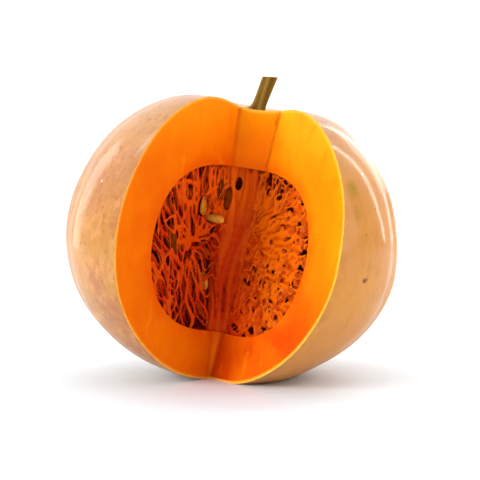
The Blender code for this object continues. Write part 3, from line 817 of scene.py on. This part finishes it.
def surface_net(field, corner, step):
    """The zero surface of a field on a grid, as one point for each cell that it crosses, at the mean
    of the crossings on the cell's edges, and one quad for each grid edge that it crosses."""
    cells = np.array(field.shape) - 1
    solid = field < 0
    found_cells, found_places, edges = [], [], []
    for axis in range(3):
        near = tuple(slice(0, -1) if other == axis else slice(None) for other in range(3))
        far = tuple(slice(1, None) if other == axis else slice(None) for other in range(3))
        spots = np.argwhere(solid[near] != solid[far])
        one, two = (axis + 1) % 3, (axis + 2) % 3
        keep = ((spots[:, one] > 0) & (spots[:, one] < cells[one])
                & (spots[:, two] > 0) & (spots[:, two] < cells[two]))
        spots = spots[keep]
        value = field[near][tuple(spots.T)]
        next_value = field[far][tuple(spots.T)]
        places = spots.astype(float)
        places[:, axis] += value / (value - next_value)
        around = []
        for back in ((1, 1), (0, 1), (0, 0), (1, 0)):
            cell = spots.copy()
            cell[:, (one, two)] -= back
            around.append(np.ravel_multi_index(cell.T, cells))
        found_cells += around
        found_places += [places] * 4
        quads = np.stack(around, -1)
        inward = value > 0
        quads[inward] = quads[inward][:, ::-1]
        edges.append(quads)
    names, which = np.unique(np.concatenate(found_cells), return_inverse=True)
    places = np.concatenate(found_places)
    count = np.bincount(which, minlength=len(names))
    points = np.stack([np.bincount(which, places[:, axis], len(names)) / count for axis in range(3)], -1)
    quads = np.searchsorted(names, np.concatenate(edges))
    return corner + step * points, quads


def lumps(points, size, seed):
    """A smooth uneven number about -1 to 1: a sum of sines that run in scattered directions."""
    dice = np.random.default_rng(seed)
    total = 0.0
    for _ in range(7):
        way = dice.normal(size=3)
        way *= dice.uniform(0.6, 1.5) / np.linalg.norm(way) * 2 * math.pi / size
        total = total + np.sin(points @ way + dice.uniform(0, 6.3))
    return total / 3.5


def oval_gap(points, centre, sizes):
    """How far points are inside an oval whose half sizes lie along x, y and z."""
    away = (points - centre) / sizes
    reach = np.linalg.norm(away, axis=-1)
    return (1 - reach) * np.min(sizes)


# Seeds on a face, in millimetres and degrees: out, up, depth, turn in the face, tilt out of it,
# length, and whether a film of pulp veils the seed
SEEDS = (
    ("left", 23.4, 20.7, 7.2, 86, 47, 15.4, False), ("left", 38.0, 30.1, 7.2, 5, -8, 16.0, False),
    ("left", 69.3, 0.5, 6.0, 36, 44, 19.0, True), ("left", 12.9, 38.4, 5.5, 12, 72, 21.0, True),
    ("left", 22.6, 44.1, 6.5, -6, 62, 19.0, True), ("left", 74.0, 26.0, 9.0, 30, 10, 15.0, True),
    ("left", 34.0, -7.0, 8.5, 84, 40, 16.0, True), ("left", 42.0, -34.0, 9.0, -20, 50, 16.0, True),
    ("left", 24.0, -30.0, 10.0, 12, 55, 15.0, False), ("right", 15.0, 31.0, 7.0, -25, 60, 15.0, True),
    ("right", 38.0, -8.0, 8.0, 35, 52, 15.5, True), ("right", 52.0, -38.0, 9.0, 15, 50, 15.5, False),
    ("middle", 1.0, -26.0, 8.0, 6, 50, 16.0, True),
)
# Seeds that lie open to the view: which ones, and the half sizes of the gap in the web before them
OPEN_SEEDS = ((0, (0.0084, 0.015, 0.0044)), (1, (0.0042, 0.015, 0.0088)), (2, (0.0034, 0.008, 0.0062)),
              (3, (0.0036, 0.008, 0.0100)), (4, (0.0034, 0.007, 0.0090)))


def without_crumbs(points, quads, least):
    """The surface without loose crumbs of fewer points. Each point takes the lowest number among the
    points of its faces, over and over, until one number is left for each body."""
    names = np.arange(len(points))
    while True:
        fresh = names.copy()
        np.minimum.at(fresh, quads, names[quads].min(1, keepdims=True))
        fresh = fresh[fresh]
        if (fresh == names).all():
            break
        names = fresh
    keep = np.bincount(names, minlength=len(points))[names] >= least
    numbers = np.cumsum(keep) - 1
    return points[keep], numbers[quads[keep[quads[:, 0]]]]


def torn_film(points, plane, depth, seed):
    """A thin uneven film that lies a given depth behind a cut plane: below zero inside it."""
    return np.abs(-ahead(points, plane) - depth - 0.0006 * lumps(points, 0.009, seed)) - 0.0006


def with_middle_film(field, points, _):
    """The strands and a film behind the middle cut."""
    film = torn_film(points, MIDDLE_PLANE, 0.0062, 9)
    return np.minimum(field, np.maximum(film, np.abs(points[..., 0]) - 0.022))


def with_right_film(field, points, _):
    """The strands and a film behind the right cut, torn open near the cavity's rim and at its top."""
    rim_share = np.clip(1 - wall_gap(points) / 0.010, 0, 1)
    top_share = np.clip((points[..., 2] - 0.022) / 0.016, 0, 1) * (points[..., 0] < 0.034)
    torn = 0.0012 * (lumps(points, 0.008, 8) - 0.62 + 0.5 * rim_share + 0.7 * top_share)
    film = torn_film(points, RIGHT_PLANE, 0.0026, 6)
    return np.minimum(field, np.maximum(film, np.maximum(torn, 0.003 - points[..., 0])))


def with_bowl(field, points, depth):
    """The strands and a lumpy closed bowl of tissue behind them."""
    front = BOWL_DEPTHS[0] + 0.0022 * lumps(points, 0.016, 3)
    return np.minimum(field, np.maximum(front - depth, depth - BOWL_DEPTHS[1]))


def raised_threads(points):
    """How far the right cut sinks between raised threads: fans of threads leave two places, each a
    sine of the bearing round its place, unevenly shifted, and where they cross they make a net."""
    out = points[..., 0] * math.sin(RIGHT_CUT[0]) - points[..., 1] * math.cos(RIGHT_CUT[0])
    raised = 0.0
    for hub_out, hub_up, rate, seed in ((0.006, 0.004, 50, 12), (-0.016, -0.034, 60, 13)):
        fan = np.arctan2(points[..., 2] - hub_up, out - hub_out)
        thread = 0.5 + 0.5 * np.sin(rate * fan + 3.0 * lumps(points, 0.017, seed))
        raised = np.maximum(raised, thread ** 2)
    return THREAD_RELIEF * (1 - raised)


# The space that the pulp's bodies keep to along y and z, about the fruit's middle
PULP_START = (-0.084, -0.072)
PULP_END = (0.012, 0.069)
# How far they stay behind the cuts and sink into the wall, how deep the bowl starts and ends, the
# relief of the right cut, and the fewest points of a body that is kept
CUT_GAP = 0.0004
WALL_SINK = 0.0010
BOWL_DEPTHS = (0.0225, 0.0285)
THREAD_RELIEF = 0.0014
LEAST_BODY = 1000
# A dark hole at the top of the pulp: its middle and half sizes
DARK_HOLE = (np.array((-0.0026, -0.0127, 0.051)), np.array((0.0028, 0.008, 0.0055)))


def pulp_paths(dice):
    """The strands of the left, right and deep bodies, as paths with their radii."""
    left = strands(dice, "left", 44, (0.0006, 0.0052), 0.00056, 0.85, 2.5, 22)
    left += strands(dice, "left", 8, (0.0005, 0.0022), 0.00095, 1.1, 2.2, 20)
    left += strands(dice, "left_low", 22, (0.0006, 0.0050), 0.00065, 0.9, 2.8, 20)
    right = strands(dice, "right", 56, (0.0003, 0.0020), 0.00062, 0.9, 4.4, 26, (0.5, 0.4))
    right += strands(dice, "right", 10, (0.0003, 0.0012), 0.00065, 3.0, 2.2, 22)
    right += strands(dice, "right_low", 20, (0.0003, 0.0030), 0.00085, 0.9, 3.6, 20)
    left += strands(dice, "middle", 9, (0.0040, 0.0062), 0.0031, 0.9, 2.6, 20)
    deep = []
    for depths, count, radius in (((0.0060, 0.0100), 24, 0.0012), ((0.0120, 0.0170), 18, 0.0018)):
        for family, number, sway, waves in (
                ("left", count, 0.8, 2.6), ("left_low", count // 2, 0.7, 2.2), ("right", count, 0.8, 3.0),
                ("right_low", count // 2, 0.7, 2.4), ("middle", count // 4, 0.7, 2.0)):
            deep += strands(dice, family, number, depths, radius, sway, waves)
    return left, right, deep


def make_pulp_body(name, paths, ends, step, blend, filled, relief=None):
    """One body: strands grown together on a grid with films or tissue added, less gaps before the open
    seeds, what is in front of the cuts and what is past the cavity's wall. Ends are along x."""
    corner = np.array((ends[0], *PULP_START))
    reach = np.array((ends[1], *PULP_END))
    shape = tuple(np.ceil((reach - corner) / step).astype(int) + 1)
    field = thicken(corner, shape, step, paths, blend)
    axes = [corner[axis] + step * np.arange(shape[axis]) for axis in range(3)]
    points = np.stack(np.meshgrid(*axes, indexing="ij"), -1)
    depth = -notch_depth(points)
    field = filled(field, points, depth) + 0.00022 * lumps(points, 0.006, 5)
    field = np.maximum(field, oval_gap(points, *DARK_HOLE))
    for index, half in OPEN_SEEDS:
        side, out, up, deep_in = SEEDS[index][:4]
        centre = face_points(side, out / 1000, up / 1000, deep_in / 1000)
        centre = centre - np.array((0, half[1] * 0.5, 0))
        field = np.maximum(field, oval_gap(points, centre, np.array(half)))
    gap = CUT_GAP + (relief(points) if relief else 0.0)
    field = np.maximum(field, gap - depth)
    field = np.maximum(field, -WALL_SINK - wall_gap(points))
    points, quads = without_crumbs(*surface_net(field, corner, step), LEAST_BODY)
    new_piece(name, stood(points), quads, [pulp_finish(name, (210, 74, 8), (118, 14, 3))], "pulp",
              values={"pulp_depth": -notch_depth(points)}, weld=False)


def make_pulp():
    """The net of strands and films in three bodies: the cut web of each side and the pulp behind."""
    left, right, deep = pulp_paths(np.random.default_rng(4))
    make_pulp_body("pulp_left", left, (-0.081, 0.026), 0.00074, 0.0005, with_middle_film)
    make_pulp_body("pulp_right", right, (-0.008, 0.081), 0.00074, 0.0005, with_right_film, raised_threads)
    make_pulp_body("pulp_deep", deep, (-0.084, 0.084), 0.00145, 0.0008, with_bowl)


def tubes(paths, radius, sides):
    """Thin closed tubes along paths, as one set of points and quads, ended by a point."""
    points, quads = [], []
    start = 0
    turn = np.linspace(0, 2 * math.pi, sides, endpoint=False)
    for line in paths:
        ahead_of = np.gradient(line, axis=0)
        ahead_of /= np.linalg.norm(ahead_of, axis=1, keepdims=True)
        side = np.cross(ahead_of, (0.31, 0.87, 0.23))
        side /= np.linalg.norm(side, axis=1, keepdims=True)
        top = np.cross(ahead_of, side)
        fade = np.sqrt(np.sin(np.linspace(0, math.pi, len(line))))[:, None, None]
        ring = line[:, None] + radius * fade * (np.cos(turn)[:, None] * side[:, None]
                                                + np.sin(turn)[:, None] * top[:, None])
        points.append(ring.reshape(-1, 3))
        grid = start + np.arange(len(line) * sides).reshape(len(line), sides)
        grid = np.concatenate((grid, grid[:, :1]), 1)
        quads.append(np.stack((grid[:-1, :-1], grid[:-1, 1:], grid[1:, 1:], grid[1:, :-1]), -1)
                     .reshape(-1, 4))
        start += len(line) * sides
    return np.concatenate(points), np.concatenate(quads)


def make_fibres():
    """Loose fine threads that hang and cross just behind the cut faces."""
    dice = np.random.default_rng(11)
    lines = []
    for family, count in (("left", 46), ("left_low", 22), ("right", 30), ("right_low", 14)):
        for path, _ in strands(dice, family, count, (0.0008, 0.0075), 0.001, 1.6, 1.7, 18):
            first = dice.integers(1, 6)
            line = path[first:first + dice.integers(8, 12)]
            if (wall_gap(line) > 0.0006).all() and (-notch_depth(line) > 0.0007).all():
                lines.append(line)
    points, quads = tubes(lines, 0.00042, 5)
    points = stood(points)
    new_piece("pulp_fibres", points, quads, [pulp_finish("pulp_fibres", (244, 140, 60), (214, 84, 24))],
              "pulp", values={"pulp_depth": np.full(len(points), 0.002)})


def make_seeds():
    """A flat teardrop: its half width is 0.53 h sin(a)^0.75 for a half length h and narrows towards
    one end, and its thickness is 0.36 of its width, thinned towards the edge."""
    bare, veiled = seed_finish(), veiled_seed_finish()
    ends = np.linspace(0, math.pi, 33)[:, None]
    around = np.linspace(0, 2 * math.pi, 49)[None, :]
    edge = np.abs(np.cos(around)) + 0 * ends
    rim = np.abs(np.cos(around)) ** 8
    for index, (side, out, up, depth, turn, tilt, length, hidden) in enumerate(SEEDS):
        size = length / 2000
        along = -size * np.cos(ends) + 0 * around
        half = 0.53 * size * np.sin(ends) ** 0.75 * (1 + 0.22 * np.cos(ends))
        across = half * np.cos(around)
        thick = half * 0.36 * np.sin(around) * (1 - 0.25 * rim)
        turn, tilt = math.radians(turn), math.radians(tilt)
        flat_out = along * math.sin(turn) + across * math.cos(turn)
        flat_up = along * math.cos(turn) - across * math.sin(turn)
        swung = flat_out * math.cos(tilt) - thick * math.sin(tilt)
        back = flat_out * math.sin(tilt) + thick * math.cos(tilt)
        grid = face_points(side, out / 1000 + swung, up / 1000 + flat_up, depth / 1000 + back)
        grid_piece(f"seed_{index + 1}", grid, [veiled if hidden else bare], "pulp",
                   {"seed_rim": edge.ravel()})


make_wall()
make_stem()
make_pulp()
make_fibres()
make_seeds()


# The stage

SWEEP_FRONT = -3.0
SWEEP_TURN = 1.4
SWEEP_RADIUS = 0.8
SWEEP_TOP = 4.0
SWEEP_HALF_WIDTH = 4.0
# Softboxes that face the fruit: name, place, width and height, power in watts
LIT_PLACE = (0.0, 0.0, 0.12)
SOFTBOXES = (
    ("key", (-1.55, -0.95, 0.75), (0.9, 0.9), 36.5), ("right_fill", (1.15, -0.45, 0.60), (1.0, 1.2), 7.4),
    ("right_strip", (0.975, 0.60, 0.70), (0.04, 1.4), 3.6),
    ("far_right_strip", (0.57, 1.0, 0.50), (0.03, 1.0), 1.3),
    ("right_back", (0.62, 0.88, 0.50), (0.42, 0.40), 1.5),
    ("left_strip", (-0.93, 0.676, 0.40), (0.28, 0.9), 3.0), ("top", (0.1, -0.1, 1.4), (1.0, 1.0), 2.0),
)


def make_stage():
    """A white floor that turns up by a quarter round into a white wall behind."""
    turn = np.linspace(0.1, 1.57, 14)
    run = np.concatenate((np.linspace(SWEEP_FRONT, SWEEP_TURN, 12),
                          SWEEP_TURN + SWEEP_RADIUS * np.sin(turn),
                          np.full(4, SWEEP_TURN + SWEEP_RADIUS)))
    rise = np.concatenate((np.zeros(12), SWEEP_RADIUS * (1 - np.cos(turn)),
                           np.linspace(1.0, SWEEP_TOP, 4)))
    width = np.linspace(-SWEEP_HALF_WIDTH, SWEEP_HALF_WIDTH, 9)
    grid = np.stack(np.broadcast_arrays(width[None, :], run[:, None], rise[:, None]), -1)
    mesh = bpy.data.meshes.new("sweep")
    rows, columns = grid.shape[:2]
    mesh.from_pydata(grid.reshape(-1, 3).tolist(), [], grid_quads(rows, columns, 0).tolist())
    mesh.shade_smooth()
    mesh.materials.append(Finish("pale_floor", (0.71, 0.76, 0.79, 1.0)).done(0.6))
    placed("sweep", mesh)


def soft_light(name, place, aim, size, power):
    """A rectangular softbox turned to face a point."""
    lamp = bpy.data.lights.new(name, "AREA")
    lamp.shape = "RECTANGLE"
    lamp.size, lamp.size_y = size
    lamp.energy = power
    light = placed(name, lamp)
    light.location = place
    light.rotation_euler = (Vector(aim) - Vector(place)).to_track_quat("-Z", "Y").to_euler()


def make_lights():
    """A large key from the left front, strips behind both sides, and an even white surround."""
    for name, place, size, power in SOFTBOXES:
        soft_light(name, place, LIT_PLACE, size, power)
    soft_light("wall_wash", (0.0, 0.5, 1.7), (0.0, 2.2, 0.5), (3.0, 0.6), 45.0)
    world = bpy.data.worlds.new("studio")
    world.use_nodes = True
    surround = world.node_tree.nodes["Background"].inputs
    surround["Color"].default_value = (1.0, 1.0, 1.0, 1.0)
    surround["Strength"].default_value = 0.62
    bpy.context.scene.world = world


def make_camera():
    """The camera at the photograph's place and angle."""
    camera = placed("view", bpy.data.cameras.new("view"))
    camera.data.lens = VIEW_LENS
    camera.data.sensor_width = 36.0
    back = Vector((0.0, -math.cos(VIEW_ELEVATION), math.sin(VIEW_ELEVATION)))
    camera.location = VIEW_TARGET + back * VIEW_DISTANCE
    camera.rotation_euler = Euler((math.pi / 2 - VIEW_ELEVATION, 0.0, 0.0))
    bpy.context.scene.camera = camera


make_stage()
make_lights()
make_camera()
bpy.context.scene.view_settings.view_transform = "Standard"
